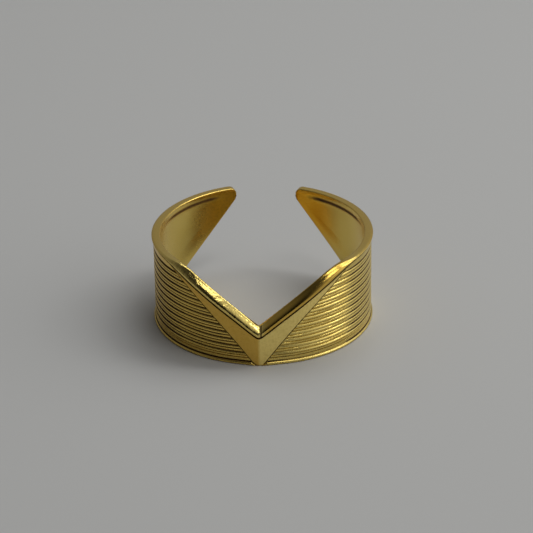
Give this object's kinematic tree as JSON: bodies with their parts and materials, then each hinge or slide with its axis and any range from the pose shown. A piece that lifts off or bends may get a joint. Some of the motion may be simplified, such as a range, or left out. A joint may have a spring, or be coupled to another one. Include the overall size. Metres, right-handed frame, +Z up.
{
  "type": "chevron ring",
  "caption": "Open finger ring in one cast piece: a ribbed band whose rim dips to a V-shaped bar over plain facets, with tapering arms and a gap at the back.",
  "frame": {"origin": "on the axis of the finger hole, in the plane of the lower edge that the ring stands on", "axes": "+Z up along the finger hole's axis, V at the front towards -Y, gap between the arms at the back towards +Y, +X to the right seen from the front"},
  "size_m": [0.019, 0.0189, 0.0079],
  "materials": {
    "gold_plate": "gold-coloured plating, polished on the bar and rim, satin on the facets and ribs, darker in the grooves"
  },
  "bodies": {
    "root": {"chevron_band": "gold_plate"}
  },
  "joints": []
}
